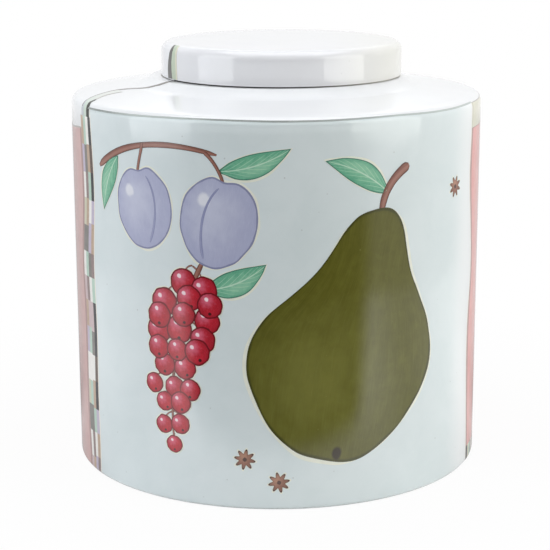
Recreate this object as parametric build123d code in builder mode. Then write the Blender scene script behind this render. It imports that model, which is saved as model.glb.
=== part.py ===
# Rumtopf pot: a straight-sided glazed jar with a sloping shoulder, a short neck and a loose cap lid.
# Millimetres, +Z up. The origin is the middle of the ring that the pot stands on.
from build123d import *
import os

# Outside of the pot
base_radius = 102.3
top_radius = 102.5
edge_height = 185.0
shoulder_rise = 4.4
seat_rise = 3.7
base_rounding = 2.5
edge_rounding = 4.0
neck_flare = 8.0
neck_flare_rounding = 14.0
seat_margin = 2.0
seat_rounding = 2.5

# Foot, wall and floor of the pot
ground_ring_width = 8.5
foot_recess = 2.5
foot_rounding = 1.0
wall = 5.5
floor_thickness = 6.0
floor_rounding = 10.0
ceiling_rounding = 7.0
mouth_rounding = 3.0

# Neck of the pot, which the lid caps
mouth_radius = 48.0
collar_wall = 5.0
collar_height = 11.0
collar_root_rounding = 0.6
lip_rounding = 1.6

# Lid
lid_slack = 3.4
lid_wall = 3.6
lid_thickness = 4.6
lid_headroom = 1.3
lid_dome_rise = 0.9
lid_edge_rounding = 4.4
lid_rim_rounding = 0.8
lid_inner_rounding = 2.5

# The lid lies loose on its seat, pushed to the +X side by this share of its slack.
off_centre_share = 0.8

# Heights that follow from the sizes above
neck_root_height = edge_height + shoulder_rise
seat_height = neck_root_height + seat_rise
collar_top = seat_height + collar_height
lid_underside = collar_top + lid_headroom
lid_edge_height = lid_underside + lid_thickness
lid_top = lid_edge_height + lid_dome_rise

# Radii that follow from the sizes above
ground_ring_radius = base_radius - ground_ring_width
collar_radius = mouth_radius + collar_wall
lid_inner_radius = collar_radius + lid_slack
lid_radius = lid_inner_radius + lid_wall
seat_radius = lid_radius + seat_margin
neck_root_radius = seat_radius + neck_flare
lid_off_centre = lid_slack * off_centre_share

# Each corner of the pot's section: radius, height and the rounding of the corner.
pot_corners = [
    (ground_ring_radius, foot_recess, foot_rounding),
    (ground_ring_radius, 0, foot_rounding),
    (base_radius, 0, base_rounding),
    (top_radius, edge_height, edge_rounding),
    (neck_root_radius, neck_root_height, neck_flare_rounding),
    (seat_radius, seat_height, seat_rounding),
    (collar_radius, seat_height, collar_root_rounding),
    (collar_radius, collar_top, lip_rounding),
    (mouth_radius, collar_top, lip_rounding),
    (mouth_radius, neck_root_height - wall, mouth_rounding),
    (top_radius - wall, edge_height - wall, ceiling_rounding),
    (base_radius - wall, floor_thickness, floor_rounding),
]

# The pot is one casting: foot ring, floor, wall, shoulder, lid seat and neck.
with BuildPart() as pot_body:
    with BuildSketch(Plane.XZ):
        with BuildLine():
            section = FilletPolyline(
                (0, foot_recess),
                *[(radius, height) for radius, height, rounding in pot_corners],
                (0, floor_thickness),
                radius=[rounding for radius, height, rounding in pot_corners],
            )
            Line(section @ 1, section @ 0)
        make_face()
    revolve(axis=Axis.Z)

# Each corner of the lid's section from its ceiling out to its upper edge.
lid_corners = [
    (lid_inner_radius, lid_underside, lid_inner_rounding),
    (lid_inner_radius, seat_height, lid_rim_rounding),
    (lid_radius, seat_height, lid_rim_rounding),
]

# The lid is a low cap: its skirt stands on the seat around the neck, and its top is slightly domed.
lid_plane = Plane.XZ.move(Location((lid_off_centre, 0, 0)))
lid_axis = Axis((lid_off_centre, 0, 0), (0, 0, 1))
with BuildPart() as lid:
    with BuildSketch(lid_plane) as lid_section:
        with BuildLine():
            cap = FilletPolyline(
                (0, lid_underside),
                *[(radius, height) for radius, height, rounding in lid_corners],
                (lid_radius, lid_edge_height),
                radius=[rounding for radius, height, rounding in lid_corners],
            )
            TangentArc((0, lid_top), (lid_radius, lid_edge_height), tangent=(1, 0))
            Line((0, lid_top), cap @ 0)
        make_face()
        upper_edge = lid_section.vertices().sort_by_distance((lid_radius, lid_edge_height))[0]
        fillet(upper_edge, radius=lid_edge_rounding)
    revolve(axis=lid_axis)

pot_body.part.label = "pot_body"
lid.part.label = "lid"

os.makedirs("parts", exist_ok=True)
export_step(pot_body.part, "parts/pot_body.step")
export_step(lid.part, "parts/lid.step")
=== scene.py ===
# The rumtopf pot as it looks: glaze, fired paint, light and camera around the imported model.
# Metres, +Z up. The painted front faces -Y, and an azimuth is counted from there towards +X.
import math
import random
from bisect import bisect_right

import bmesh
import bpy
from mathutils import Matrix, Vector, noise
from mathutils.geometry import interpolate_bezier


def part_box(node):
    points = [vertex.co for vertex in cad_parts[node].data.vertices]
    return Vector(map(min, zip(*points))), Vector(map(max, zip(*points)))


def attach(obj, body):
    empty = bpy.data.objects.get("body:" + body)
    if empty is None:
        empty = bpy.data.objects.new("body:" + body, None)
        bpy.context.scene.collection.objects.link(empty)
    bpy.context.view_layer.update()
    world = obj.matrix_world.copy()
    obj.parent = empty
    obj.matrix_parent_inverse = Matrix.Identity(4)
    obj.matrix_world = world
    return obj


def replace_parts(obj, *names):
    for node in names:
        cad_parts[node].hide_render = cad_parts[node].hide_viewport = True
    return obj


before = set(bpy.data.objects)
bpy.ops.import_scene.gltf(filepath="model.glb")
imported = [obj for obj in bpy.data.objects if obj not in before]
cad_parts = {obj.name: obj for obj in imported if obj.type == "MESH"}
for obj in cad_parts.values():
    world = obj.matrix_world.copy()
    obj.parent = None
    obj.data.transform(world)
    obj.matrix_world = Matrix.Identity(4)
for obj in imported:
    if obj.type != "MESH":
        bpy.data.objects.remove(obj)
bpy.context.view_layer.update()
mm = 0.001

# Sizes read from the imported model
pot_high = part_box("pot_body")[1]
lid_low, lid_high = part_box("lid")
collar_top = pot_high.z
seat_height = lid_low.z
lid_top = lid_high.z
lid_radius = (lid_high.x - lid_low.x) / 2
lid_centre = (lid_high.x + lid_low.x) / 2

# Sizes of the section, as it was cast
base_radius = 102.3 * mm
top_radius = 102.5 * mm
edge_height = 185.0 * mm
wall = 5.5 * mm
floor_thickness = 6.0 * mm
foot_recess = 2.5 * mm
ground_ring_radius = 93.8 * mm
collar_radius = 53.0 * mm
mouth_radius = 48.0 * mm
seat_radius = 62.0 * mm
neck_root_radius = 70.0 * mm
neck_root_height = 189.4 * mm
lid_inner_radius = 56.4 * mm
lid_headroom = 1.3 * mm
lid_dome_rise = 0.9 * mm
lid_edge_rounding = 4.4 * mm
lid_rim_rounding = 0.8 * mm
lid_inner_rounding = 2.5 * mm
lid_underside = collar_top + lid_headroom
lid_edge_height = lid_top - lid_dome_rise

# The glazed wall stays this far inside the cast outline, and the fired paint fills the room.
paint_room = 0.35 * mm
glazed_base = base_radius - paint_room
glazed_top = top_radius - paint_room
glazed_edge = edge_height - paint_room

# How far each layer of paint stands out from the glazed wall
field_proud = 0.10 * mm
border_proud = 0.13 * mm
halo_proud = 0.15 * mm
motif_proud = 0.19 * mm
layer_step = 0.02 * mm
lid_stripe_proud = 0.06 * mm
coat_thickness = 0.1 * mm

# How finely the shapes are cut
full_turn = 360
turning_steps = 256
longest_facet = 4 * mm
rounding_steps = 7
dome_steps = 8
sharp_angle = math.radians(40)
merge_distance = 0.002 * mm

# Corners of the pot's section: radius, height, rounding.
foot_corners = [
    (ground_ring_radius, foot_recess, 1.0 * mm),
    (ground_ring_radius, 0, 1.0 * mm),
]
wall_corners = [
    (glazed_base, 0, 2.5 * mm),
    (glazed_top, glazed_edge, 4.0 * mm),
    (neck_root_radius, neck_root_height - paint_room, 14.0 * mm),
    (seat_radius, seat_height, 2.5 * mm),
    (collar_radius, seat_height, 0.6 * mm),
]
inside_corners = [
    (collar_radius, collar_top, 1.6 * mm),
    (mouth_radius, collar_top, 1.6 * mm),
    (mouth_radius, neck_root_height - wall, 3.0 * mm),
    (top_radius - wall, edge_height - wall, 7.0 * mm),
    (base_radius - wall, floor_thickness, 10.0 * mm),
]


# Turned shapes

def rounding_offset(before, corner, after, radius):
    """How far from a corner its rounding starts."""
    turn = (corner - before).angle(after - corner)
    return radius * math.tan(turn / 2)


def section_wire(corners):
    """A wire in the XZ plane through (radius, height, rounding) corners, with round corners."""
    wire = bmesh.new()
    points = [Vector((radius, 0, height)) for radius, height, rounding in corners]
    verts = [wire.verts.new(point) for point in points]
    for start, end in zip(verts, verts[1:]):
        wire.edges.new((start, end))
    for i in range(1, len(corners) - 1):
        offset = rounding_offset(points[i - 1], points[i], points[i + 1], corners[i][2])
        if offset > 0:
            bmesh.ops.bevel(wire, geom=[verts[i]], offset=offset, offset_type="OFFSET",
                            segments=rounding_steps, profile=0.5, affect="VERTICES", material=-1)
    for edge in wire.edges[:]:
        cuts = int(edge.calc_length() / longest_facet)
        if cuts:
            bmesh.ops.subdivide_edges(wire, edges=[edge], cuts=cuts)
    return wire


def cut_wire(wire, place, direction, keep_ahead=True, keep_behind=True):
    """Cuts a section wire at a plane, and can drop what lies ahead of it or behind it."""
    bmesh.ops.bisect_plane(wire, geom=wire.verts[:] + wire.edges[:], plane_co=place,
                           plane_no=direction, clear_outer=not keep_ahead, clear_inner=not keep_behind)


def outside_wire(low, high, innermost=collar_radius):
    """The pot's outside between two heights, as far in as a radius, as a section wire."""
    wire = section_wire([(ground_ring_radius, 0, 0)] + wall_corners)
    cut_wire(wire, (0, 0, low), (0, 0, 1), keep_behind=False)
    cut_wire(wire, (0, 0, high), (0, 0, 1), keep_ahead=False)
    cut_wire(wire, (innermost, 0, 0), (1, 0, 0), keep_behind=False)
    return wire


def turn_wire(wire, start, sweep, steps, axis_x=0.0):
    """Spins a section wire from a start azimuth through a sweep, in degrees."""
    bmesh.ops.rotate(wire, verts=wire.verts[:], cent=(0, 0, 0),
                     matrix=Matrix.Rotation(math.radians(start - 90), 3, "Z"))
    bmesh.ops.spin(wire, geom=wire.verts[:] + wire.edges[:], cent=(0, 0, 0), dvec=(0, 0, 0), axis=(0, 0, 1),
                   angle=math.radians(sweep), steps=steps, use_merge=sweep == full_turn)
    bmesh.ops.remove_doubles(wire, verts=wire.verts[:], dist=merge_distance)
    bmesh.ops.translate(wire, verts=wire.verts[:], vec=(axis_x, 0, 0))


def azimuth_of(point, axis_x=0.0):
    """The azimuth of a point about an upright axis, in degrees."""
    return math.degrees(math.atan2(point.x - axis_x, -point.y))


def set_azimuth(vert, azimuth, axis_x=0.0):
    """Moves a vertex around an upright axis to an azimuth."""
    reach = math.hypot(vert.co.x - axis_x, vert.co.y)
    angle = math.radians(azimuth)
    vert.co.x = axis_x + reach * math.sin(angle)
    vert.co.y = -reach * math.cos(angle)


def face_outwards(sheet, axis_x=0.0):
    """Turns the faces of an open sheet around the pot so that they look away from its middle."""
    sheet.normal_update()
    turned_in = []
    for face in sheet.faces:
        middle = face.calc_center_median() - Vector((axis_x, 0, 0))
        away = Vector((middle.x, middle.y, middle.to_2d().length))
        if face.normal.dot(away) < 0:
            turned_in.append(face)
    bmesh.ops.reverse_faces(sheet, faces=turned_in)
    sheet.normal_update()


def push_out(sheet, distance):
    """Moves every vertex of a sheet along its normal."""
    sheet.normal_update()
    moves = [(vert, vert.normal * distance) for vert in sheet.verts]
    for vert, move in moves:
        vert.co += move


def mesh_of(name, shape):
    """A mesh made of a bmesh, which is freed."""
    mesh = bpy.data.meshes.new(name)
    shape.to_mesh(mesh)
    shape.free()
    return mesh


def new_object(name, data):
    """A new object in the scene."""
    made = bpy.data.objects.new(name, data)
    bpy.context.scene.collection.objects.link(made)
    return made


def make_piece(name, shape, materials, body, thickness=0.0):
    """Makes an object of a bmesh, smooth but for its sharp edges, riding on a body."""
    if thickness:
        bmesh.ops.solidify(shape, geom=shape.faces[:], thickness=thickness)
    shape.normal_update()
    for face in shape.faces:
        face.smooth = True
    for edge in shape.edges:
        edge.smooth = edge.calc_face_angle(0) < sharp_angle
    piece = new_object(name, mesh_of(name, shape))
    for material in materials:
        piece.data.materials.append(material)
    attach(piece, body)
    return piece


# Material building

def linear(value):
    """One 0 to 255 display value as a linear one, by the sRGB curve."""
    share = value / 255
    return share / 12.92 if share <= 0.04045 else ((share + 0.055) / 1.055) ** 2.4


def colour(values):
    """Red, green and blue display values as a linear colour."""
    return (*[linear(value) for value in values], 1.0)


def add(tree, kind, inputs=None, **settings):
    """Adds a node, with its settings and with its inputs set or linked."""
    node = tree.nodes.new(kind)
    for key, value in settings.items():
        setattr(node, key, value)
    for key, value in (inputs or {}).items():
        if isinstance(value, bpy.types.NodeSocket):
            tree.links.new(value, node.inputs[key])
        else:
            node.inputs[key].default_value = value
    return node


def mixed(tree, share, first, second):
    """A mix of two colours, by a share from 0 to 1."""
    return add(tree, "ShaderNodeMix", {0: share, 6: first, 7: second}, data_type="RGBA").outputs[2]


def reckon(tree, operation, *values):
    """A Math node."""
    return add(tree, "ShaderNodeMath", dict(enumerate(values)), operation=operation).outputs[0]


def times(tree, first, second):
    """The product of two values."""
    return reckon(tree, "MULTIPLY", first, second)


def reckon_vector(tree, operation, *values):
    """A Vector Math node: its value for a length or a distance, and its vector for the rest."""
    outputs = add(tree, "ShaderNodeVectorMath", dict(enumerate(values)), operation=operation).outputs
    return outputs["Value"] if operation in ("LENGTH", "DISTANCE") else outputs["Vector"]


def axes_of(tree, place):
    """The X, Y and Z of a place."""
    return add(tree, "ShaderNodeSeparateXYZ", {0: place}).outputs


def step_between(tree, value, low, high):
    """A smooth 0 to 1 step of a value between two limits."""
    return add(tree, "ShaderNodeMapRange", {"Value": value, "From Min": low, "From Max": high},
               interpolation_type="SMOOTHSTEP").outputs["Result"]


def ramp(tree, value, low, high, start, end):
    """An even change from a start to an end level while a value goes from one limit to another."""
    return add(tree, "ShaderNodeMapRange", {"Value": value, "From Min": low, "From Max": high,
                                            "To Min": start, "To Max": end}).outputs["Result"]


def noise_of(tree, place, scale, detail=3.0, roughness=0.5, distortion=0.0):
    """Cloudy noise from 0 to 1."""
    return add(tree, "ShaderNodeTexNoise",
               {"Vector": place, "Scale": scale, "Detail": detail, "Roughness": roughness,
                "Distortion": distortion}).outputs["Fac"]


def object_place(tree):
    """The place on the object, in metres."""
    return tree.nodes.new("ShaderNodeTexCoord").outputs["Object"]


def new_group(name, inputs, outputs):
    """An empty node group: its inputs by name with their defaults, and its outputs by name."""
    group = bpy.data.node_groups.new(name, "ShaderNodeTree")
    kinds = {1: "Float", 3: "Vector", 4: "Color"}
    for label, default in inputs.items():
        kind = kinds[len(default) if isinstance(default, tuple) else 1]
        socket = group.interface.new_socket(label, in_out="INPUT", socket_type=f"NodeSocket{kind}")
        socket.default_value = default
    for label in outputs:
        kind = "Color" if label == "Colour" else "Float"
        group.interface.new_socket(label, in_out="OUTPUT", socket_type=f"NodeSocket{kind}")
    return group, group.nodes.new("NodeGroupInput").outputs, group.nodes.new("NodeGroupOutput").inputs


def form_place(tree):
    """The place on a painted form, from -1 to 1 both ways, from its map."""
    flat = tree.nodes.new("ShaderNodeUVMap").outputs["UV"]
    return reckon_vector(tree, "MULTIPLY_ADD", flat, (2, 2, 0), (-1, -1, 0))


# Marks of a fired glaze: how many to the metre, and how much of each
grain_scale = 1400.0
speck_scale = 260.0
ripple_scale = 110.0
grain_share = 0.08
pinhole_depth = 0.6
sheen_low = 0.28
sheen_high = 0.42


def make_glaze_group():
    """Cloudy depth, fine grain, specks and pinholes of a fired glaze, on object coordinates."""
    group, given, made = new_group(
        "fired glaze",
        {"Colour": (1, 1, 1, 1), "Deep": (1, 1, 1, 1), "Cloud Size": 0.03, "Clouds": 0.5,
         "Speck": (0.2, 0.2, 0.2, 1), "Specks": 0.2},
        ["Colour", "Roughness", "Height"])
    place = object_place(group)
    broad = noise_of(group, place, reckon(group, "DIVIDE", 1.0, given["Cloud Size"]), 5.0, 0.6, 0.4)
    clouds = times(group, step_between(group, broad, 0.3, 0.75), given["Clouds"])
    clouded = mixed(group, clouds, given["Colour"], given["Deep"])
    grain = noise_of(group, place, grain_scale, 2.0)
    grains = times(group, step_between(group, grain, 0.35, 0.8), grain_share)
    grained = mixed(group, grains, clouded, given["Deep"])
    cells = add(group, "ShaderNodeTexVoronoi", {"Vector": place, "Scale": speck_scale}).outputs
    chance = add(group, "ShaderNodeSeparateColor", {"Color": cells["Color"]}).outputs["Red"]
    lonely = step_between(group, chance, 0.93, 0.94)
    near = step_between(group, cells["Distance"], 0.14, 0.05)
    dot = times(group, lonely, near)
    speck = times(group, dot, given["Specks"])
    group.links.new(mixed(group, speck, grained, given["Speck"]), made["Colour"])
    group.links.new(ramp(group, broad, 0.0, 1.0, sheen_low, sheen_high), made["Roughness"])
    ripple = noise_of(group, place, ripple_scale, 2.0)
    group.links.new(reckon(group, "MULTIPLY_ADD", dot, -pinhole_depth, ripple), made["Height"])
    return group


def make_stroke_group():
    """Masks of one painted form from its own map: its rim, its shaded side, its light and its brush marks."""
    group, given, made = new_group(
        "painted form",
        {"Rim Width": 0.05, "Light": (-0.3, 0.35, 0), "Light Size": 0.5, "Marks Across": 5.0,
         "Marks Along": 1.5},
        ["Rim", "Shade", "Light", "Marks", "Bristles"])
    flat = group.nodes.new("ShaderNodeUVMap").outputs["UV"]
    place = form_place(group)
    wobble = reckon(group, "SUBTRACT", noise_of(group, flat, 9.0, 2.0), 0.5)
    out = reckon(group, "MULTIPLY_ADD", wobble, 0.04, reckon_vector(group, "LENGTH", place))
    inner = reckon(group, "SUBTRACT", 1.0, given["Rim Width"])
    group.links.new(step_between(group, out, reckon(group, "SUBTRACT", inner, 0.02), inner), made["Rim"])
    group.links.new(step_between(group, out, 0.45, 1.0), made["Shade"])
    apart = reckon_vector(group, "DISTANCE", place, given["Light"])
    soft = reckon(group, "MULTIPLY_ADD", wobble, 0.5, apart)
    group.links.new(step_between(group, soft, given["Light Size"], 0.0), made["Light"])
    stretch = add(group, "ShaderNodeCombineXYZ", {0: given["Marks Across"], 1: given["Marks Along"]})
    combed = reckon_vector(group, "MULTIPLY", place, stretch.outputs[0])
    marks = noise_of(group, combed, 1.6, 4.0, 0.6, 0.6)
    group.links.new(step_between(group, marks, 0.35, 0.7), made["Marks"])
    bristles = noise_of(group, reckon_vector(group, "MULTIPLY", combed, (7, 1.5, 1)), 2.0, 3.0, 0.7, 0.3)
    group.links.new(step_between(group, bristles, 0.45, 0.75), made["Bristles"])
    return group


def make_spot_group():
    """A mask of one roundish dab on a painted form, on the form's own map."""
    group, given, made = new_group(
        "painted dab",
        {"Centre": (0, 0, 0), "Size": 0.1, "Softness": 0.03},
        ["Mask"])
    place = form_place(group)
    wobble = reckon(group, "SUBTRACT", noise_of(group, place, 6.0, 2.0), 0.5)
    apart = reckon_vector(group, "DISTANCE", place, given["Centre"])
    uneven = reckon(group, "MULTIPLY_ADD", wobble, given["Size"], apart)
    outer = reckon(group, "ADD", given["Size"], given["Softness"])
    group.links.new(step_between(group, uneven, outer, given["Size"]), made["Mask"])
    return group


def make_vein_group():
    """A mask of a leaf's middle rib and of the side veins that slant from it to the tip."""
    group, given, made = new_group(
        "leaf veins",
        {"Side Veins": 7.0, "Slant": 0.9, "Width": 0.07},
        ["Mask"])
    axes = axes_of(group, form_place(group))
    aside = reckon(group, "ABSOLUTE", axes["X"])
    rib = step_between(group, aside, given["Width"], times(group, given["Width"], 0.5))
    rise = reckon(group, "SUBTRACT", axes["Y"], times(group, aside, given["Slant"]))
    turn = reckon(group, "PINGPONG", times(group, rise, given["Side Veins"]), 1.0)
    side = times(group, step_between(group, turn, 0.2, 0.08), step_between(group, aside, 0.8, 0.5))
    faint = times(group, side, 0.6)
    group.links.new(reckon(group, "MAXIMUM", rib, faint), made["Mask"])
    return group


glaze_group = make_glaze_group()
stroke_group = make_stroke_group()
spot_group = make_spot_group()
vein_group = make_vein_group()
glaze_index = 1.5
glaze_blur = 0.08
underglaze_shine = 0.1
ripple_depth = 0.03 * mm
grit_depth = 0.08 * mm
grit_scale = 900.0
patch_scale = 60.0
lighter_right = (0.0, 62 * mm)
lighter_left = (-48 * mm, -57 * mm)
clay_roughness = 0.85
vein_share = 0.8


def finish_glossy(tree, surface, base_colour, fired, gloss=1.0, blur=glaze_blur):
    """Links a colour and the fired unevenness to a surface under a clear layer of glaze."""
    tree.links.new(base_colour, surface.inputs["Base Color"])
    tree.links.new(fired.outputs["Roughness"], surface.inputs["Roughness"])
    surface.inputs["Specular IOR Level"].default_value = underglaze_shine
    surface.inputs["Coat Weight"].default_value = gloss
    surface.inputs["Coat Roughness"].default_value = blur
    surface.inputs["Coat IOR"].default_value = glaze_index
    bump = add(tree, "ShaderNodeBump", {"Height": fired.outputs["Height"], "Distance": ripple_depth})
    tree.links.new(bump.outputs["Normal"], surface.inputs["Normal"])


def fire(tree, base, deep, cloud_size, clouds, specks, speck=(90, 85, 80)):
    """The fired glaze group with its values."""
    return add(tree, "ShaderNodeGroup",
               {"Colour": colour(base), "Deep": colour(deep), "Cloud Size": cloud_size,
                "Clouds": clouds, "Speck": colour(speck), "Specks": specks}, node_tree=glaze_group)


def new_material(name):
    """A new material, its tree and its surface."""
    material = bpy.data.materials.new(name)
    material.use_nodes = True
    return material, material.node_tree, material.node_tree.nodes["Principled BSDF"]


def glazed(name, base, deep, cloud_size=5, clouds=0.5, specks=0.25, side_tone=None, gloss=1.0, blur=glaze_blur):
    """A glossy glaze or enamel of one cloudy colour, with sizes and places in millimetres.

    It may shift to another colour from left to right: that colour, and where the shift starts and is full.
    """
    material, tree, surface = new_material(name)
    fired = fire(tree, base, deep, cloud_size * mm, clouds, specks)
    shown = fired.outputs["Colour"]
    if side_tone:
        side_colour, start, end = side_tone
        share = step_between(tree, axes_of(tree, object_place(tree))["X"], start * mm, end * mm)
        shown = mixed(tree, share, shown, colour(side_colour))
    finish_glossy(tree, surface, shown, fired, gloss, blur)
    return material


def painted(name, body, deep, light, rim, rim_width, marks, light_at=(-0.3, 0.35), light_size=0.6,
            light_share=0.6, shade_share=0.5, marks_share=0.4, bristle_share=0.25, cloud_size=6,
            specks=0.0, speck=(90, 85, 80), dabs=(), veins=None):
    """A painted form: body colour with brush marks, a deeper edge, a soft light, dabs and a thin rim.

    Its clouds are measured in millimetres, and the rest in shares of the form.
    """
    material, tree, surface = new_material(name)
    fired = fire(tree, body, deep, cloud_size * mm, 0.5, specks, speck)
    form = add(tree, "ShaderNodeGroup",
               {"Rim Width": rim_width, "Light": (*light_at, 0), "Light Size": light_size,
                "Marks Across": marks[0], "Marks Along": marks[1]}, node_tree=stroke_group).outputs
    shown = fired.outputs["Colour"]
    for mask, share, tint in (("Marks", marks_share, deep), ("Shade", shade_share, deep),
                              ("Light", light_share, light), ("Bristles", bristle_share, light)):
        shown = mixed(tree, times(tree, form[mask], share), shown, colour(tint))
    if veins:
        mask = add(tree, "ShaderNodeGroup", node_tree=vein_group).outputs["Mask"]
        shown = mixed(tree, times(tree, mask, vein_share), shown, colour(veins))
    shown = mixed(tree, form["Rim"], shown, colour(rim))
    for centre, size, softness, tint in dabs:
        mask = add(tree, "ShaderNodeGroup", {"Centre": (*centre, 0), "Size": size, "Softness": softness},
                   node_tree=spot_group).outputs["Mask"]
        shown = mixed(tree, mask, shown, colour(tint))
    finish_glossy(tree, surface, shown, fired)
    return material


def bare_clay(name, pale, deep, grit_colour, lighter_sides=None):
    """Unglazed stoneware: fine, dry and slightly gritty, and if a side colour is given, lighter towards the
    left and right.
    """
    material, tree, surface = new_material(name)
    place = object_place(tree)
    grit = noise_of(tree, place, grit_scale, 4.0, 0.7)
    patches = noise_of(tree, place, patch_scale)
    body = mixed(tree, step_between(tree, patches, 0.3, 0.7), colour(pale), colour(deep))
    dusty = mixed(tree, step_between(tree, grit, 0.55, 0.75), body, colour(grit_colour))
    if lighter_sides:
        across = axes_of(tree, place)["X"]
        sides = reckon(tree, "MAXIMUM", step_between(tree, across, *lighter_right),
                       step_between(tree, across, *lighter_left))
        dusty = mixed(tree, sides, dusty, colour(lighter_sides))
    tree.links.new(dusty, surface.inputs["Base Color"])
    surface.inputs["Roughness"].default_value = clay_roughness
    bump = add(tree, "ShaderNodeBump", {"Height": grit, "Distance": grit_depth})
    tree.links.new(bump.outputs["Normal"], surface.inputs["Normal"])
    return material


# Finishes

white_glaze = glazed("white glaze", (233, 235, 237), (225, 227, 231), 30, clouds=0.4, specks=0.12, blur=0.16)
# The lid's glaze turns a little warmer and darker towards its right side.
lid_glaze = glazed("lid glaze", (232, 233, 236), (224, 225, 230), 30, clouds=0.4, specks=0.12,
                   side_tone=((230, 230, 225), 20, 60))
clay = bare_clay("bare clay", (146, 137, 127), (126, 117, 107), (98, 90, 82))
# Clay of the seat and of the lid's rim, painted dark grey as the shadow in the seam under the lid, and
# lighter at the left and right where that painted shadow fades.
seat_clay_painted_shadow = bare_clay("seat clay with painted seam shadow", (62, 60, 58), (48, 46, 44), (36, 34, 32), lighter_sides=(182, 180, 172))
# The mint turns paler towards the right seam.
mint_enamel = glazed("mint enamel", (226, 236, 238), (216, 228, 230), 22, clouds=0.6,
                     side_tone=((244, 248, 250), 82, 94))
pink_enamel = glazed("pink enamel", (238, 166, 160), (226, 148, 142), 9, clouds=0.7)
dusky_pink_enamel = glazed("dusky pink enamel", (216, 174, 170), (202, 158, 154), 9, clouds=0.7)
cream_enamel = glazed("cream enamel", (220, 218, 198), (208, 206, 182), 9, clouds=0.6)
# Painted shadow beside the right seam, on the cream.
cream_seam_shadow_enamel = glazed("khaki seam shadow enamel", (196, 196, 178), (180, 180, 162))
seam_enamel = glazed("pale seam enamel", (246, 243, 234), (236, 232, 220))
left_line_enamel = glazed("left line enamel", (136, 144, 141), (112, 120, 118),
                          side_tone=((186, 194, 191), -84, -62))
middle_line_enamel = glazed("middle line enamel", (186, 194, 191), (170, 178, 175),
                            side_tone=((116, 124, 121), -48, -24))
right_line_enamel = glazed("right line enamel", (132, 140, 137), (108, 116, 113),
                           side_tone=((182, 190, 188), 20, 60))
# Painted shade: a darker pink along the check ribbon.
pink_shade_enamel = glazed("pink shade enamel", (178, 142, 138), (164, 128, 124))
band_line_enamel = glazed("band line enamel", (124, 120, 114), (100, 96, 92))
taupe_enamel = glazed("taupe line enamel", (184, 180, 174), (156, 150, 144), clouds=0.8)
# A rose line, and also the painted shadow beside the right seam on the pink.
rose_line_and_shadow_enamel = glazed("rose line and seam shadow enamel", (188, 148, 142), (166, 128, 122))
shoulder_enamel = glazed("shoulder band enamel", (198, 214, 202), (182, 200, 186),
                         side_tone=((215, 221, 213), -92, -82))
dark_bar_enamel = glazed("band bar enamel", (50, 50, 42), (34, 34, 28), gloss=0.35)
# Painted shade: a bluish grey on the left of the shoulder band.
shade_enamel = glazed("band shade enamel", (190, 196, 202), (176, 183, 190))
lid_dark_enamel = glazed("lid dark enamel", (106, 104, 102), (90, 92, 86), 6, clouds=0.4, gloss=0.4)
lid_green_enamel = glazed("lid green enamel", (190, 204, 182), (178, 194, 168), 6)
halo_enamel = glazed("halo enamel", (242, 244, 232), (228, 232, 214))

check_colours = {
    "tan": ((196, 172, 152), (176, 150, 126)),
    "leaf": ((190, 214, 200), (168, 198, 180)),
    "white": ((246, 244, 240), (232, 230, 226)),
    "ink": ((58, 58, 62), (36, 38, 38)),
    "lavender": ((200, 190, 208), (180, 168, 192)),
    "grey": ((134, 130, 126), (110, 108, 104)),
    "mauve": ((152, 134, 132), (130, 110, 108)),
    "cream": ((210, 208, 186), (196, 192, 166)),
    "rose": ((212, 192, 194), (192, 170, 172)),
    "brown": ((104, 86, 78), (78, 62, 54)),
}
check_names = list(check_colours)
check_enamels = [glazed(f"{name} check enamel", base, deep, 4, gloss=0.6)
                 for name, (base, deep) in check_colours.items()]

pear_enamel = painted("pear enamel", (106, 105, 38), (82, 80, 18), (138, 138, 72), (70, 70, 26),
                      rim_width=0.012, light_at=(-0.3, -0.35), light_size=0.8, light_share=0.45,
                      shade_share=0.3, marks=(5.0, 1.4), marks_share=0.45, bristle_share=0.18,
                      cloud_size=5, specks=0.6, speck=(170, 166, 96),
                      dabs=[((0.02, -0.93), 0.035, 0.03, (52, 42, 22))])
berry_enamel = painted("redcurrant enamel", (204, 34, 52), (146, 14, 32), (232, 120, 148), (112, 12, 26),
                       rim_width=0.1, light_at=(-0.3, 0.35), light_size=0.8, light_share=0.75,
                       marks=(2.0, 2.0), marks_share=0.4, bristle_share=0.15, cloud_size=9,
                       dabs=[((0.12, -0.62), 0.1, 0.05, (66, 14, 20)),
                             ((-0.34, 0.4), 0.13, 0.06, (252, 226, 232))])
plum_enamel = painted("plum enamel", (190, 194, 219), (170, 174, 206), (212, 216, 234), (138, 142, 176),
                      rim_width=0.03, light_at=(-0.25, 0.2), light_size=0.9, light_share=0.6,
                      marks=(3.0, 1.5), marks_share=0.35, cloud_size=8,
                      dabs=[((-0.42, 0.42), 0.1, 0.1, (232, 234, 244))])
plum_line_enamel = painted("plum crease enamel", (156, 160, 196), (132, 136, 176), (186, 190, 218),
                           (140, 144, 182), rim_width=0.1, marks=(3.0, 12.0))
leaf_enamel = painted("mint leaf enamel", (130, 198, 162), (84, 162, 132), (172, 220, 190), (74, 130, 112),
                      rim_width=0.07, light_at=(0.3, 0.1), light_size=0.9, light_share=0.5,
                      marks=(1.5, 5.0), marks_share=0.5, veins=(206, 234, 214))
anise_enamel = painted("star anise enamel", (150, 100, 80), (106, 66, 52), (200, 152, 126), (82, 52, 42),
                       rim_width=0.14, light_at=(-0.2, 0.3), light_size=0.9, marks=(4.0, 4.0),
                       dabs=[((0, 0), 0.16, 0.08, (78, 46, 38))])
bark_enamel = painted("brown stem enamel", (152, 100, 88), (104, 64, 54), (190, 142, 126), (84, 50, 42),
                      rim_width=0.2, light_at=(-0.2, 0.0), light_size=0.8, light_share=0.5,
                      marks=(3.0, 12.0), marks_share=0.5)


# The pot and the lid

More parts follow.
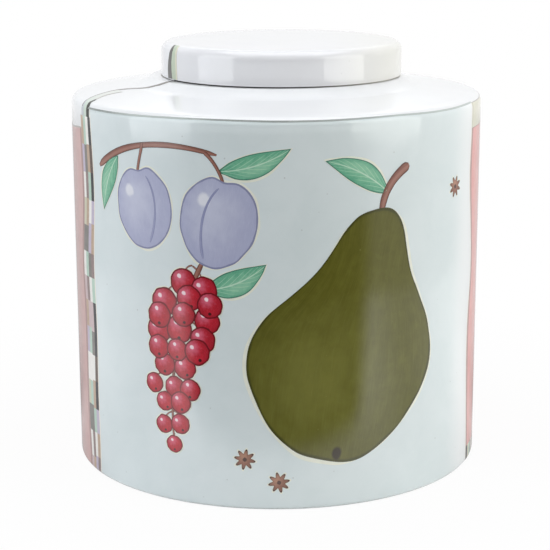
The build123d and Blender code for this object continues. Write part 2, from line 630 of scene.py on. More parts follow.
# Where bare clay shows: on the foot ring below a height, on the level seat inside a radius, and on the
# lid's rim below a height from an azimuth on. The seat's and the rim's clay is painted dark as the seam's
# shadow.
clay_edge_height = 0.9 * mm
lid_clay_height = 0.65 * mm
seat_clay_reach = lid_radius - lid_centre - 0.4 * mm
seat_evenness = 0.2 * mm
rim_clay_from = -61


def turned_casting(name, corners, materials, body, finish_at, axis_x=0.0):
    """A closed turned casting, where the middle of each face says which of its materials it has."""
    casting = section_wire(corners)
    turn_wire(casting, 0, full_turn, turning_steps, axis_x)
    bmesh.ops.recalc_face_normals(casting, faces=casting.faces[:])
    for face in casting.faces:
        face.material_index = finish_at(face.calc_center_median())
    return make_piece(name, casting, materials, body)


def pot_finish(middle):
    """Glaze, but for the clay of the ground ring and of the lid's seat."""
    on_seat = (abs(middle.z - seat_height) < seat_evenness
               and collar_radius < middle.to_2d().length < seat_clay_reach)
    return 1 if middle.z < clay_edge_height else 2 if on_seat else 0


def lid_finish(middle):
    """Glaze, but for the clay of the rim, where a stretch at the left is glazed too."""
    in_reach = azimuth_of(middle, lid_centre) > rim_clay_from or middle.y > 0
    return 1 if in_reach and middle.z < seat_height + lid_clay_height else 0


def lid_dome():
    """Points over the low dome of the lid, from its edge to its middle."""
    for step in range(dome_steps - 1, -1, -1):
        share = step / dome_steps
        yield (lid_radius * share, lid_top - lid_dome_rise * share ** 2, 0)


def make_pot():
    """The glazed pot."""
    corners = [(0, foot_recess, 0)] + foot_corners + wall_corners + inside_corners
    return turned_casting("glazed_pot", corners + [(0, floor_thickness, 0)],
                          [white_glaze, clay, seat_clay_painted_shadow], "pot", pot_finish)


def make_lid():
    """The glazed cap, which lies a little off the pot's axis."""
    corners = [
        (0, lid_underside, 0),
        (lid_inner_radius, lid_underside, lid_inner_rounding),
        (lid_inner_radius, seat_height, lid_rim_rounding),
        (lid_radius, seat_height, lid_rim_rounding),
        (lid_radius, lid_edge_height, lid_edge_rounding),
        *lid_dome(),
    ]
    return turned_casting("glazed_lid", corners, [lid_glaze, seat_clay_painted_shadow], "lid", lid_finish, lid_centre)


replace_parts(make_pot(), "pot_body")
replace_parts(make_lid(), "lid")


# Hand-drawn edges of the painting: azimuths in degrees, at heights up the wall in millimetres

def smooth_share(value, low, high):
    """How far a value is between two limits, from 0 to 1, easing in and out."""
    share = min(max((value - low) / (high - low), 0), 1)
    return share * share * (3 - 2 * share)


def smooth_curve(*points):
    """A smooth curve through (place, value) points, level beyond its ends."""
    places = [place for place, value in points]
    values = [value for place, value in points]
    last = len(points) - 1
    slopes = []
    for i in range(last + 1):
        before, after = max(i - 1, 0), min(i + 1, last)
        slopes.append((values[after] - values[before]) / (places[after] - places[before]))

    def curve(place):
        place = min(max(place, places[0]), places[last])
        i = min(bisect_right(places, place), last) - 1
        length = places[i + 1] - places[i]
        share = (place - places[i]) / length
        rise = share * share * (3 - 2 * share)
        level = values[i] + (values[i + 1] - values[i]) * rise
        leaving = slopes[i] * length * share * (1 - share) ** 2
        arriving = slopes[i + 1] * length * share ** 2 * (1 - share)
        return level + leaving - arriving
    return curve


def hand_drawn(*points):
    """An edge through (millimetres, azimuth) points as one smooth curve."""
    curve = smooth_curve(*points)
    return lambda place: curve(place / mm)


def beside(edge, angle):
    """An edge a fixed angle away from another."""
    return lambda place: edge(place) + angle


def upright(azimuth):
    """A straight upright edge."""
    return lambda place: azimuth


ribbon_left = hand_drawn((0, -65.0), (12, -65.2), (30, -66.1), (80, -66.1), (107, -67.2),
                         (140, -65.1), (184, -66.9))
ribbon_right = hand_drawn((0, -58.9), (14, -58.8), (45, -59.1), (75, -58.9), (107, -59.6),
                          (145, -58.3), (184, -60.0))
right_seam = hand_drawn((0, 69.2), (12, 69.0), (37, 67.9), (60, 67.2), (78, 67.6), (105, 69.4),
                        (148, 66.4), (170, 67.1), (184, 67.4))

coat_bottom = 0.8 * mm
ribbon_top = 178.4 * mm
field_top = 183.8 * mm
left_pink_top = 170.4 * mm
right_pink_top = 171.4 * mm
cream_top = 183.2 * mm
foot_check_top = 8.7 * mm
line_width = 0.7 * mm

# Angles along the wall, in degrees
seam_angle = 0.45
back_seam_reach = 0.4
pink_shade_angle = 1.9
seam_shade_angle = 1.5
cream_shade_angle = 0.7
field_overlap = 0.4
line_overlap = 0.9
facet_angle = 1.4
unit_turn = 90

back = upright(180)
back_seam_start = beside(back, -back_seam_reach)
wrapped_ribbon = beside(ribbon_left, full_turn + field_overlap)

# How far the tops of the mint and the left pink field hang down, in millimetres, at each azimuth.
field_sag = smooth_curve((-60, 1.0), (-52, 0.85), (-44, 0.65), (-36, 0.45), (-27, 0.15), (-18, 0.05),
                         (-10, 0.1), (0, 0.3), (13, 0.3), (24, 0.05), (33, 0), (43, 0.3), (54, 0.45),
                         (64, 0.2), (70, 0.1))
pink_sag = smooth_curve((270, 0.5), (283, 0.3), (290, -1.6), (294, -2.2))
sag_start = 150 * mm


def height_of(point):
    """How high a point lies."""
    return point.z


def reach_of(point):
    """How far a point lies from the pot's axis."""
    return point.to_2d().length


def radius_at(section, height):
    """The radius of a section, given as (height, radius) points, at a height."""
    for (low, start), (high, end) in zip(section, section[1:]):
        if height <= high:
            return start + (end - start) * (height - low) / (high - low)
    return section[-1][1]


def lay_coat(name, wire, start, end, steps, material, proud, measure=height_of, sag=None, body="pot",
             axis_x=0.0):
    """A coat of paint along a section wire, between two edges that depend on the place along it."""
    section = sorted((vert.co.z, vert.co.x) for vert in wire.verts)
    turn_wire(wire, 0, unit_turn, steps, axis_x)
    for vert in wire.verts:
        share = azimuth_of(vert.co, axis_x) / unit_turn
        place = measure(vert.co)
        azimuth = start(place) + (end(place) - start(place)) * share
        if sag:
            vert.co.z -= sag(azimuth) * mm * smooth_share(vert.co.z, sag_start, field_top)
            stretch = radius_at(section, vert.co.z) / vert.co.to_2d().length
            vert.co.x *= stretch
            vert.co.y *= stretch
        set_azimuth(vert, azimuth, axis_x)
    face_outwards(wire, axis_x)
    push_out(wire, proud)
    make_piece(name, wire, [material], body, thickness=coat_thickness)


def wall_coat(name, low, high, start, end, material, proud=border_proud, sag=None):
    """A coat of paint on the wall between two heights and two edges."""
    steps = max(2, math.ceil((end(low) - start(low)) / facet_angle))
    lay_coat(name, outside_wire(low, high), start, end, steps, material, proud, sag=sag)


def make_fields():
    """The colour fields of the wall."""
    wall_coat("mint_field", coat_bottom, field_top, beside(ribbon_right, -field_overlap), right_seam,
              mint_enamel, field_proud, field_sag)
    wall_coat("pink_field_right", coat_bottom, right_pink_top, right_seam, back, pink_enamel, field_proud)
    wall_coat("pink_field_left", coat_bottom, left_pink_top, back, wrapped_ribbon, dusky_pink_enamel,
              field_proud, pink_sag)
    wall_coat("cream_field", right_pink_top, cream_top, right_seam, back, cream_enamel, field_proud)


def make_lines():
    """The thin lines, pale seams and painted shades between the fields."""
    first_change, second_change = upright(-36), upright(3)
    line_spans = [("left", beside(ribbon_right, -line_overlap), first_change, left_line_enamel),
                  ("middle", first_change, second_change, middle_line_enamel),
                  ("right", second_change, right_seam, right_line_enamel)]
    for side, start, end, enamel in line_spans:
        wall_coat(f"mint_top_line_{side}", field_top - line_width / 2, field_top + line_width / 2,
                  start, end, enamel, sag=field_sag)
    wall_coat("cream_top_line", cream_top, cream_top + line_width / 2, right_seam, back, taupe_enamel)
    wall_coat("pink_top_line", left_pink_top, left_pink_top + line_width, back, wrapped_ribbon,
              taupe_enamel, sag=pink_sag)
    wall_coat("cream_bottom_line", right_pink_top - line_width / 2, right_pink_top, right_seam, back,
              rose_line_and_shadow_enamel)
    wall_coat("left_seam", coat_bottom, field_top, ribbon_right, beside(ribbon_right, seam_angle),
              seam_enamel, sag=field_sag)
    wall_coat("right_seam", coat_bottom, field_top, beside(right_seam, -seam_angle), right_seam,
              seam_enamel, sag=field_sag)
    # A painted shade on the pink along the ribbon's left edge.
    wall_coat("pink_shade_left", coat_bottom, left_pink_top, beside(wrapped_ribbon, -pink_shade_angle),
              wrapped_ribbon, pink_shade_enamel, border_proud - layer_step / 2, pink_sag)
    # A painted shadow on the pink beside the seam, where the mint field's edge stands out.
    wall_coat("right_seam_shade", foot_check_top, right_pink_top, right_seam,
              beside(right_seam, seam_shade_angle), rose_line_and_shadow_enamel)
    # A painted shadow on the cream beside the seam.
    wall_coat("cream_shade", right_pink_top, cream_top, right_seam, beside(right_seam, cream_shade_angle),
              cream_seam_shadow_enamel)
    wall_coat("back_seam", coat_bottom, cream_top, back_seam_start, beside(back, back_seam_reach),
              taupe_enamel)


make_fields()
make_lines()


# Check ribbon, and the checks along the foot

ribbon_rows = 14
row_height = 13.1 * mm
row_unevenness = 1.1 * mm
column_unevenness = 0.16
column_wave = 14 * mm
column_change = 7.3
edge_tolerance = 0.01

# The colours of each upright bar repeat in a cycle of its own length, so no two rows are alike.
left_bars = [["tan", "lavender", "white", "cream", "grey", "white", "rose"],
             ["leaf", "grey", "mauve", "tan", "grey", "leaf", "mauve", "rose", "leaf", "white"]]
right_bars = [["white", "tan", "leaf", "white", "lavender", "grey", "white", "rose", "grey"],
              ["ink", "brown", "ink", "lavender", "tan", "mauve", "leaf", "ink"]]
foot_cycle = ["ink", "cream", "leaf", "grey", "white", "mauve", "leaf", "ink", "white", "tan", "grey",
              "lavender", "rose"]
foot_bar_count = 60
foot_bars = [[foot_cycle[bar % len(foot_cycle)]] for bar in range(foot_bar_count)]


def check_bars(name, start, end, bars, top, rows, seed):
    """Upright bars side by side, each a column of small checks in its cycle of colours."""
    dice = random.Random(seed)
    sheet = outside_wire(coat_bottom, top)
    borders = [top - row_height * row + dice.uniform(-1, 1) * row_unevenness for row in range(1, rows)]
    for border in borders:
        cut_wire(sheet, (0, 0, border), (0, 0, 1))
    turn_wire(sheet, 0, len(bars), 2 * len(bars))
    for face in sheet.faces:
        middle = face.calc_center_median()
        bar = int(azimuth_of(middle))
        row = sum(middle.z < border for border in borders)
        face.material_index = check_names.index(bars[bar][row % len(bars[bar])])
    for vert in sheet.verts:
        column = azimuth_of(vert.co)
        inner = edge_tolerance < column < len(bars) - edge_tolerance
        wave = noise.noise(Vector((column * column_change, seed, vert.co.z / column_wave))) if inner else 0
        low, high = start(vert.co.z), end(vert.co.z)
        set_azimuth(vert, low + (high - low) * column / len(bars) + wave * column_unevenness)
    face_outwards(sheet)
    push_out(sheet, border_proud)
    make_piece(name, sheet, check_enamels, "pot", thickness=coat_thickness)


def ribbon_middle(height):
    """The upright line between the two pairs of bars."""
    return (ribbon_left(height) + ribbon_right(height)) / 2


check_bars("check_ribbon_left", ribbon_left, ribbon_middle, left_bars, ribbon_top, ribbon_rows, seed=4)
check_bars("check_ribbon_right", ribbon_middle, ribbon_right, right_bars, ribbon_top, ribbon_rows, seed=9)
check_bars("check_foot", right_seam, back_seam_start, foot_bars, foot_check_top, 1, seed=2)


# The band from the ribbon over the shoulder to the lid: azimuths at radii in millimetres

band_left = hand_drawn((58, -59.3), (62.7, -59.0), (66.5, -63.4), (69, -67.4), (72.8, -73.2), (78.2, -76.0),
                       (82, -76.3), (86.3, -74.8), (90.8, -72.8), (94.3, -70.8), (97.7, -68.3),
                       (99.7, -66.6), (102.4, -65.6))
band_right = hand_drawn((80, -68.8), (86, -69.0), (90.8, -67.2), (93.5, -65.7), (96.8, -63.4), (99.7, -61.8),
                        (102.4, -60.0))
band_end = 80 * mm
band_joint = 95.5 * mm
band_steps = 6
left_line_width = smooth_curve((58, 2.6), (74, 3.0), (84, 1.8), (92, 1.2), (102.4, 0.9))
right_line_width = smooth_curve((80, 0.4), (86, 1.2), (96, 1.6))
dark_bar_width = smooth_curve((95, 1.4), (99, 2.4), (102, 3.3))
band_shade_width = smooth_curve((97, 0.3), (102, 3.0))


def right_of(edge, width):
    """An edge to the right of another by a width in millimetres."""
    return lambda reach: edge(reach) + math.degrees(width(reach / mm) * mm / reach)


def left_of(edge, width):
    """An edge to the left of another by a width in millimetres."""
    return right_of(edge, lambda place: -width(place))


def shoulder_coat(name, outermost, innermost, start, end, material, proud=border_proud):
    """A coat of paint over the shoulder between two radii and two edges."""
    wire = outside_wire(ribbon_top, seat_height + mm, innermost)
    if outermost < glazed_top:
        cut_wire(wire, (outermost, 0, 0), (1, 0, 0), keep_ahead=False)
    lay_coat(name, wire, start, end, band_steps, material, proud, reach_of)


def make_shoulder_band():
    """The ribbon's pale continuation between two lines, of which one runs on to the lid."""
    shoulder_coat("band_fill", glazed_top, band_end, band_left, band_right, shoulder_enamel, field_proud)
    # A bluish-grey painted shade over the left of the band, on the shoulder's rounding.
    shoulder_coat("band_shade", glazed_top, 98 * mm, band_left, right_of(band_left, band_shade_width),
                  shade_enamel)
    shoulder_coat("band_dark_bar", glazed_top, band_joint, left_of(band_right, dark_bar_width), band_right,
                  dark_bar_enamel)
    shoulder_coat("band_right_line", band_joint, band_end, left_of(band_right, right_line_width), band_right,
                  taupe_enamel)
    shoulder_coat("band_left_line", 101.8 * mm, 57 * mm, band_left, right_of(band_left, left_line_width),
                  band_line_enamel)


make_shoulder_band()


# Stripes on the lid, where the band meets it: azimuths about the lid's own axis, by height in millimetres

stripe_edges = [
    hand_drawn((194, -66.9), (198, -67.4), (201, -67.0), (205, -65.5), (208, -64.7), (210, -65.4)),
    hand_drawn((194, -62.0), (198, -62.7), (201, -62.9), (205, -62.1), (208, -61.9), (210, -64.0)),
    hand_drawn((194, -58.2), (198, -58.5), (201, -58.8), (205, -58.7), (208, -59.0), (210, -60.4)),
    hand_drawn((194, -56.9), (198, -57.2), (201, -57.4), (205, -57.4), (208, -57.6), (210, -59.4)),
]
stripe_end = lid_radius - lid_edge_rounding + 1.2 * mm
stripe_steps = 4


def lid_stripe(name, start, end, material):
    """A stripe up the side of the lid and on to its rounded edge."""
    wire = section_wire([(lid_radius, seat_height + lid_rim_rounding, 0),
                         (lid_radius, lid_edge_height, lid_edge_rounding),
                         next(lid_dome())])
    cut_wire(wire, (stripe_end, 0, 0), (1, 0, 0), keep_behind=False)
    lay_coat(name, wire, start, end, stripe_steps, material, lid_stripe_proud, body="lid", axis_x=lid_centre)


def make_lid_stripes():
    """A dark, a green and a cream stripe side by side."""
    stripe_enamels = {"dark": lid_dark_enamel, "green": lid_green_enamel, "cream": cream_enamel}
    for (shade, enamel), start, end in zip(stripe_enamels.items(), stripe_edges, stripe_edges[1:]):
        lid_stripe(f"lid_{shade}_stripe", start, end, enamel)


make_lid_stripes()


# Painted fruit on the mint field, in millimetres along the wall from the front and up from the ground

halo_growth = 0.7
edge_waves = 2.4
drawn_waver = 0.035
halo_waver = 0.05


def round_patch(steps):
    """A disc of even quads with radius 1 in the XY plane, with its places as its map."""
    patch = bmesh.new()
    bmesh.ops.create_grid(patch, x_segments=steps, y_segments=steps, size=1)
    layer = patch.loops.layers.uv.new("UVMap")
    for vert in patch.verts:
        x, y = vert.co.x, vert.co.y
        vert.co.x = x * math.sqrt(1 - y * y / 2)
        vert.co.y = y * math.sqrt(1 - x * x / 2)
    for face in patch.faces:
        for loop in face.loops:
            loop[layer].uv = (0.5 + loop.vert.co.x / 2, 0.5 + loop.vert.co.y / 2)
    return patch


def shape_patch(patch, form, size, growth, waver, seed):
    """Bends a disc into a form with a wavering edge, which may be grown all round for its halo."""
    for vert in patch.verts:
        across, up = form(vert.co.x, vert.co.y)
        reach = vert.co.length
        way = vert.co / max(reach, 0.001) * edge_waves
        drawn = 1 + waver * noise.noise(Vector((way.x, way.y, seed))) * reach ** 2
        vert.co.x = across * (size[0] * drawn + growth)
        vert.co.y = up * (size[1] * drawn + growth)


def lay_on_wall(flat, along, height, tilt, proud):
    """Turns a flat shape by a tilt and bends it round the wall at a place, standing out from it."""
    turn = Matrix.Rotation(math.radians(-tilt), 3, "Z")
    bmesh.ops.rotate(flat, verts=flat.verts[:], cent=(0, 0, 0), matrix=turn)
    for vert in flat.verts:
        level = (height + vert.co.y) * mm
        radius = glazed_base + (glazed_top - glazed_base) * level / glazed_edge
        angle = (along + vert.co.x) * mm / radius
        reach = radius + proud
        vert.co = (reach * math.sin(angle), -reach * math.cos(angle), level)
    face_outwards(flat)


def join_shapes(target, shape):
    """Adds one bmesh to another and frees it."""
    mesh = mesh_of("joining", shape)
    target.from_mesh(mesh)
    bpy.data.meshes.remove(mesh)


def paint_piece(name, shape, material):
    """A thin painted shape on the wall, as a piece of the pot."""
    make_piece(name, shape, [material], "pot", thickness=coat_thickness / 2)


pear_waist = smooth_curve((-1, 0.94), (-0.5, 1), (-0.15, 0.98), (0.1, 0.87), (0.3, 0.71), (0.5, 0.58),
                          (0.7, 0.54), (0.85, 0.57), (1, 0.62))


def round_form(x, y):
    """A plain round."""
    return x, y


def pear_form(x, y):
    """A pear: a full round base that draws in to a narrow neck, leaning a little."""
    return x * pear_waist(y) + 0.12 * smooth_share(y, -0.2, 1), y + 0.03 * x


def plum_form(x, y):
    """A plum: a little egg-shaped, with a dent where its stalk sits."""
    dent = 0.1 * math.exp(-(x / 0.22) ** 2) * smooth_share(y, 0.2, 1)
    return x * (1 + 0.06 * y), y - dent


def leaf_form(x, y):
    """A slender leaf with pointed ends, bent sideways."""
    taper = max(1 - y * y, 0)
    return x * math.sqrt(taper) * (1.1 - 0.25 * y) + 0.5 * taper, y


def star_form(x, y):
    """A star with eight blunt points."""
    notch = 0.5 - 0.5 * math.cos(8 * math.atan2(y, x))
    pull = 1 - 0.45 * notch * math.hypot(x, y)
    return x * pull, y * pull


def motif(name, form, size, along, height, tilt, material, steps, layer=0):
    """One painted form with an uneven pale halo under it."""
    seed = along + height
    under = round_patch(steps)
    shape_patch(under, form, size, halo_growth, halo_waver, seed + 0.5)
    lay_on_wall(under, along, height, tilt, halo_proud)
    paint_piece(f"{name}_halo", under, halo_enamel)
    over = round_patch(steps)
    shape_patch(over, form, size, 0, drawn_waver, seed)
    lay_on_wall(over, along, height, tilt, motif_proud + layer * layer_step)
    paint_piece(name, over, material)


# A stroke of the brush: how short and how narrow its tips are, how its pressure changes, and how far its
# map reaches across and along
tip_steepness = 12
tip_narrowing = 0.85
pressure_waves = 5
pressure_change = 0.16
map_across = 0.49
map_along = 0.1


def brush_line(points, start_width, end_width, proud, steps=24):
    """A stroke of the brush along a curve with four control points, with rounded ends."""
    stroke = bmesh.new()
    bmesh.ops.create_grid(stroke, x_segments=steps, y_segments=4, size=1)
    layer = stroke.loops.layers.uv.new("UVMap")
    for face in stroke.faces:
        for loop in face.loops:
            loop[layer].uv = (0.5 + loop.vert.co.y * map_across, 0.5 + loop.vert.co.x * map_along)
    curve = interpolate_bezier(*[Vector((x, y, 0)) for x, y in points], steps + 1)
    for vert in stroke.verts:
        step = round((vert.co.x + 1) / 2 * steps)
        ahead = curve[min(step + 1, steps)] - curve[max(step - 1, 0)]
        side = Vector((-ahead.y, ahead.x, 0)).normalized()
        share = step / steps
        tip = max(1 - min(share, 1 - share) * tip_steepness, 0)
        fullness = math.sqrt(1 - tip ** 2 * tip_narrowing)
        pressure = 1 + pressure_change * noise.noise(Vector((share * pressure_waves, *points[0])))
        width = (start_width + (end_width - start_width) * share) * fullness * pressure
        vert.co = curve[step] + side * vert.co.y * width / 2
    lay_on_wall(stroke, 0, 0, 0, proud)
    return stroke


def draw_line(name, points, start_width, end_width, material, layer=0):
    """One stroke of the brush as a piece of its own."""
    stroke = brush_line(points, start_width, end_width, motif_proud + layer * layer_step)
    paint_piece(name, stroke, material)


def leaf(name, size, along, height, tilt):
    """A slender veined leaf."""
    motif(name, leaf_form, size, along, height, tilt, leaf_enamel, 16)


def plum(name, size, along, height, tilt):
    """A lavender plum."""
    motif(name, plum_form, size, along, height, tilt, plum_enamel, 20, layer=1)


def paint_pear():
    """The large olive pear right of the middle, with its stem and a leaf."""
    draw_line("pear_stem", [(50, 138), (50, 148), (55, 156), (65, 161)], 3.0, 4.8, bark_enamel)
    leaf("pear_leaf", (5.2, 18), 38, 157, -62)
    motif("pear", pear_form, (49, 61), 35, 83, 8, pear_enamel, 40, layer=1)


# Redcurrants in each row of their bunch, from the top down, where the rows lie along the stalk in
# hundredths, and how size and distance shrink downwards
currant_rows = [2, 3, 3, 3, 3, 2, 3, 2, 2, 1]
bunch_start = 18
bunch_length = 80
currant_size = 7.3
currant_size_loss = 2.5
currant_pitch = 12.4
currant_pitch_loss = 3.6
currant_levels = 7
currant_halo = 0.6
currant_waver = 0.07
currant_facets = 12


def paint_redcurrants():
    """A hanging bunch of redcurrants at the lower left, on a thin brown stalk."""
    dice = random.Random(8)
    stalk = [(-34, 119), (-44, 100), (-54, 70), (-50, 26)]
    curve = interpolate_bezier(*[Vector((x, y, 0)) for x, y in stalk], 101)
    draw_line("currant_stalk", stalk, 2.6, 1.0, bark_enamel)
    leaf("currant_leaf", (5.6, 16), -19, 112, 66)
    stalks, halos, berries = bmesh.new(), bmesh.new(), bmesh.new()
    count = 0
    for row, berry_count in enumerate(currant_rows):
        share = row / (len(currant_rows) - 1)
        middle = curve[round(bunch_start + bunch_length * share ** 0.92)]
        pitch = currant_pitch - currant_pitch_loss * share
        for place_in_row in range(berry_count):
            size = (currant_size - currant_size_loss * share) * dice.uniform(0.88, 1.06)
            spread = (place_in_row - (berry_count - 1) / 2) * pitch + dice.uniform(-1.4, 1.4)
            drop = abs(spread) * 0.16 + dice.uniform(-1.6, 1.6)
            along, height = middle.x + spread, middle.y - drop
            root = middle + Vector((0, size * 1.3, 0))
            bend = [(root.x, root.y), (root.x, root.y), (along, height + size * 1.3), (along, height)]
            join_shapes(stalks, brush_line(bend, 0.9, 0.7, motif_proud, steps=8))
            turn = dice.uniform(-14, 14)
            proud = motif_proud + (1 + count % currant_levels) * layer_step
            for target, growth, level in ((halos, currant_halo, halo_proud), (berries, 0, proud)):
                berry = round_patch(currant_facets)
                shape_patch(berry, round_form, (size, size), growth, currant_waver, count)
                lay_on_wall(berry, along, height, turn, level)
                join_shapes(target, berry)
            count += 1
    paint_piece("redcurrant_halos", halos, halo_enamel)
    paint_piece("redcurrant_stalks", stalks, bark_enamel)
    paint_piece("redcurrants", berries, berry_enamel)


def paint_plums():
    """Two lavender plums at the upper left, hanging from a twig with slender leaves."""
    draw_line("plum_twig", [(-97, 157), (-80, 170), (-55, 175), (-27, 168)], 3.6, 2.2, bark_enamel)
    draw_line("plum_stalk_left", [(-66, 171), (-66, 168), (-68, 164), (-69, 157)], 1.8, 1.5, bark_enamel)
    draw_line("plum_stalk_right", [(-33, 169), (-30, 167), (-26, 162), (-24, 155)], 1.8, 1.5, bark_enamel)
    plum("plum_left", (16.5, 19.5), -66, 141, -8)
    plum("plum_right", (18.5, 21.5), -27, 137, 10)
    draw_line("plum_crease_left", [(-64, 156), (-58, 149), (-57, 137), (-62, 125)], 0.9, 1.3,
              plum_line_enamel, layer=2)
    draw_line("plum_crease_right", [(-26, 153), (-33, 147), (-37, 134), (-34, 120)], 0.9, 1.4,
              plum_line_enamel, layer=2)
    leaf("twig_leaf_left", (4.8, 15), -88, 150, 204)
    leaf("twig_leaf_right", (5.0, 17.5), -10, 166, 72)


def paint_spices():
    """A few brown pods of star anise scattered on the field."""
    for number, (along, height, tilt) in enumerate([(-15, 25, 10), (1, 14, -12), (100, 146, 20)]):
        motif(f"star_anise_{number + 1}", star_form, (5.2, 5.2), along, height, tilt, anise_enamel, 16)


paint_pear()
paint_redcurrants()
paint_plums()
paint_spices()


# Studio: floor, lamps and camera

# The glaze mirrors the floor as a grey table that ends ahead of the pot, and beyond it a dark room, which
# widens away from the pot like a fan. Light levels are shares of white.
table_edge = 0.18
table_near_end = 0.495
table_left_light = 0.55
table_right_light = 0.7
table_side_gain = 0.5
table_front_gain = 1.2
table_grey = 0.79
room_grey = 0.36
fan_root = 0.13
fan_spread = 1.37
fan_blur = 0.03
fan_blur_growth = 0.3
room_darkness = 0.97

# The pot's soft shadow on the floor, from the middle out: as the camera sees it, and as the glaze mirrors it
seen_shadow = (0.14, 0.3, 0.95)
mirrored_shadow = (0.105, 0.28, 0.5)

# Where the mirrored floor changes: by direction from the pot as a cosine, or by distance from it
back_span = (-0.4, 0.4)
side_span = (-0.55, -0.2)
front_span = (0.4, 0.8)
far_span = (0.9, 1.4)
room_span = (1.35, 1.65)

# Light from all round, weaker from the front; what the glaze mirrors of it is a dark front below, a bright
# band above that, and a dimmer ceiling.
front_ambient = 0.06
back_ambient = 0.45
dark_front = 0.9
band_gain = 0.6
wall_light = 0.94
ceiling_loss = 0.4
ambient_span = (-0.9, 0.4)
dark_side_span = (-0.55, -0.75)
dark_top_span = (0.6, 0.4)
band_low_span = (0.3, 0.38)
band_high_span = (0.6, 0.5)
band_side_span = (0.34, 0.1)
ceiling_span = (0.6, 0.75)

softbox_distance = 0.9
softbox_low = 0.042
softbox_height = 0.79
cool_light = (0.96, 0.98, 1.0)
warm_light = (1.0, 0.988, 0.94)
top_light = (0.965, 0.975, 1.0)

floor_reach = 6
floor_drop = 0.02 * mm
camera_place = (0, -849.7 * mm, 291.3 * mm)
camera_pitch = 0.2333
camera_yaw = 0.0009
camera_roll = -0.0024
camera_lens = 110.95
camera_clip_start = 0.05


def inside_fan(tree, axes):
    """A mask of the dark room ahead of the table's near edge, as a wedge that widens away from the pot."""
    ahead = times(tree, axes["Y"], -1.0)
    aside = reckon(tree, "ABSOLUTE", axes["X"])
    past = reckon(tree, "SUBTRACT", ahead, table_edge)
    half_width = reckon(tree, "MULTIPLY_ADD", past, fan_spread, fan_root)
    outside = reckon(tree, "SUBTRACT", aside, half_width)
    blur = reckon(tree, "MULTIPLY_ADD", past, fan_blur_growth, fan_blur)
    within = step_between(tree, reckon(tree, "DIVIDE", outside, blur), 1.0, -1.0)
    return times(tree, within, step_between(tree, past, -fan_blur, fan_blur))


def shadow(tree, away, measures):
    """A soft round shadow: where it starts to fade, where it ends, and the light left in its middle."""
    start, end, left = measures
    return ramp(tree, away, start, end, left, 1.0)


def grey(level):
    """A grey of one linear level."""
    return (level, level, level, 1)


def mirrored_table(tree, axes, away):
    """The table as the glaze mirrors it: brightest ahead of the pot and near it, fainter behind."""
    ahead = reckon(tree, "DIVIDE", times(tree, axes["Y"], -1.0), away)
    aside = reckon(tree, "DIVIDE", axes["X"], away)
    back_light = ramp(tree, aside, *back_span, table_left_light, table_right_light)
    sides = times(tree, step_between(tree, ahead, *side_span), table_side_gain)
    front = reckon(tree, "MULTIPLY_ADD", step_between(tree, ahead, *front_span), table_front_gain, sides)
    near = step_between(tree, away, table_near_end + fan_blur, table_near_end - fan_blur)
    lit = reckon(tree, "MULTIPLY_ADD", front, near, back_light)
    far_lit = reckon(tree, "MAXIMUM", lit, step_between(tree, away, *far_span))
    return times(tree, far_lit, shadow(tree, away, mirrored_shadow))


def viewing_rays(tree):
    """Masks of what the camera sees itself and of what it sees in the glaze."""
    path = tree.nodes.new("ShaderNodeLightPath").outputs
    return path["Is Camera Ray"], reckon(tree, "MAXIMUM", path["Is Glossy Ray"], path["Is Transmission Ray"])


def floor_material():
    """White to the camera but for the pot's soft shadow; the glaze mirrors a table in a dark room."""
    material, tree, surface = new_material("studio floor")
    place = object_place(tree)
    axes = axes_of(tree, place)
    away = reckon_vector(tree, "LENGTH", place)
    fan = inside_fan(tree, axes)
    tree.links.new(mixed(tree, fan, grey(table_grey), grey(room_grey)), surface.inputs["Base Color"])
    surface.inputs["Roughness"].default_value = 1.0
    surface.inputs["Specular IOR Level"].default_value = 0.0
    seen, mirrored = viewing_rays(tree)
    share = reckon(tree, "MULTIPLY_ADD", seen, shadow(tree, away, seen_shadow), mirrored)
    darkness = reckon(tree, "MULTIPLY_ADD", step_between(tree, away, *room_span), room_darkness,
                      -room_darkness)
    unlit = reckon(tree, "MULTIPLY_ADD", fan, darkness, 1.0)
    seen_light = times(tree, mirrored_table(tree, axes, away), unlit)
    strength = add(tree, "ShaderNodeMix", {0: seen, 2: seen_light, 3: 1.0}).outputs[0]
    glow = add(tree, "ShaderNodeEmission", {"Strength": strength})
    lit = add(tree, "ShaderNodeMixShader", {0: share, 1: surface.outputs[0], 2: glow.outputs[0]})
    tree.links.new(lit.outputs[0], tree.nodes["Material Output"].inputs["Surface"])
    return material


def make_floor():
    """A wide floor just under the pot."""
    sheet = bmesh.new()
    bmesh.ops.create_grid(sheet, x_segments=1, y_segments=1, size=floor_reach)
    bmesh.ops.translate(sheet, vec=(0, 0, -floor_drop), verts=sheet.verts[:])
    floor = new_object("studio_floor", mesh_of("studio_floor", sheet))
    floor.data.materials.append(floor_material())


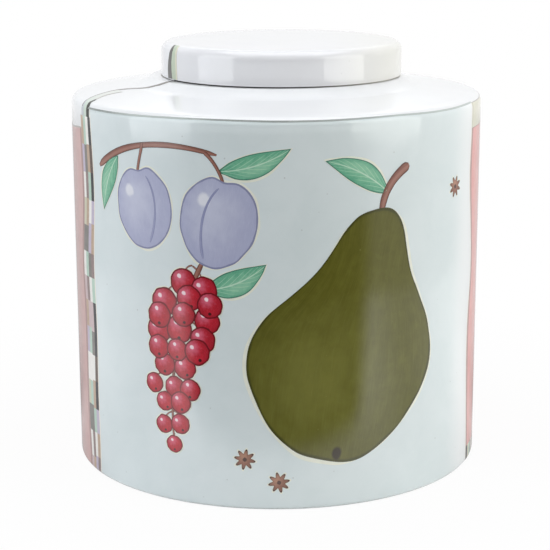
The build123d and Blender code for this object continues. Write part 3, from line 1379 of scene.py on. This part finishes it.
def make_world():
    """Soft light all round that is weaker from the front; white to the camera and mostly to the glaze."""
    world = bpy.data.worlds.new("studio")
    bpy.context.scene.world = world
    world.use_nodes = True
    tree = world.node_tree
    seen, mirrored = viewing_rays(tree)
    axes = axes_of(tree, tree.nodes.new("ShaderNodeTexCoord").outputs["Generated"])
    soft = tree.nodes["Background"]
    soft.inputs["Color"].default_value = (1, 1, 1, 1)
    ambient = ramp(tree, axes["Y"], *ambient_span, front_ambient, back_ambient)
    tree.links.new(ambient, soft.inputs["Strength"])
    dark_ahead = times(tree, step_between(tree, axes["Y"], *dark_side_span),
                       step_between(tree, axes["Z"], *dark_top_span))
    bright_band = times(tree, step_between(tree, axes["Z"], *band_low_span),
                        step_between(tree, axes["Z"], *band_high_span))
    ceiling = step_between(tree, axes["Z"], *ceiling_span)
    dim_ceiling = reckon(tree, "MULTIPLY_ADD", ceiling, -ceiling_loss, wall_light)
    aside = reckon(tree, "ABSOLUTE", axes["X"])
    band_light = times(tree, step_between(tree, aside, *band_side_span), band_gain)
    room_light = reckon(tree, "MULTIPLY_ADD", bright_band, band_light, dim_ceiling)
    mirrored_light = add(tree, "ShaderNodeMix", {0: mirrored, 2: 1.0, 3: room_light}).outputs[0]
    white_light = reckon(tree, "MULTIPLY_ADD", times(tree, dark_ahead, mirrored), -dark_front, mirrored_light)
    white = add(tree, "ShaderNodeBackground", {"Color": (1, 1, 1, 1), "Strength": white_light})
    shown = add(tree, "ShaderNodeMixShader", {0: reckon(tree, "MAXIMUM", seen, mirrored),
                                              1: soft.outputs[0], 2: white.outputs[0]})
    tree.links.new(shown.outputs[0], tree.nodes["World Output"].inputs["Surface"])


def softbox(name, width, height, place, turn, radiance, tint):
    """A rectangular lamp."""
    lamp = bpy.data.lights.new(name, "AREA")
    lamp.shape = "RECTANGLE"
    lamp.size = width
    lamp.size_y = height
    lamp.energy = radiance * math.pi * width * height
    lamp.color = tint
    piece = new_object(name, lamp)
    piece.location = place
    piece.rotation_euler = turn


def side_softbox(name, azimuth, width, radiance, tint):
    """An upright lamp that faces the pot from an azimuth."""
    angle = math.radians(azimuth)
    place = (softbox_distance * math.sin(angle), -softbox_distance * math.cos(angle),
             softbox_low + softbox_height / 2)
    softbox(name, width, softbox_height, place, (math.pi / 2, 0, angle), radiance, tint)


def make_camera():
    """The photograph's view: a long lens from a little above, straight on."""
    camera = new_object("camera", bpy.data.cameras.new("camera"))
    camera.location = camera_place
    turned = Matrix.Rotation(camera_yaw, 3, "Z") @ Matrix.Rotation(math.pi / 2 - camera_pitch, 3, "X")
    camera.rotation_euler = (turned @ Matrix.Rotation(camera_roll, 3, "Z")).to_euler()
    camera.data.lens = camera_lens
    camera.data.clip_start = camera_clip_start
    bpy.context.scene.camera = camera


make_floor()
make_world()
side_softbox("left softbox", -63.5, 0.62, 2.5, cool_light)
side_softbox("right softbox", 60, 0.69, 2.75, warm_light)
softbox("top softbox", 1.2, 1.0, (0, -0.05, 1.2), (0, 0, 0), 2.4, top_light)
make_camera()

bpy.context.scene.view_settings.view_transform = "Standard"
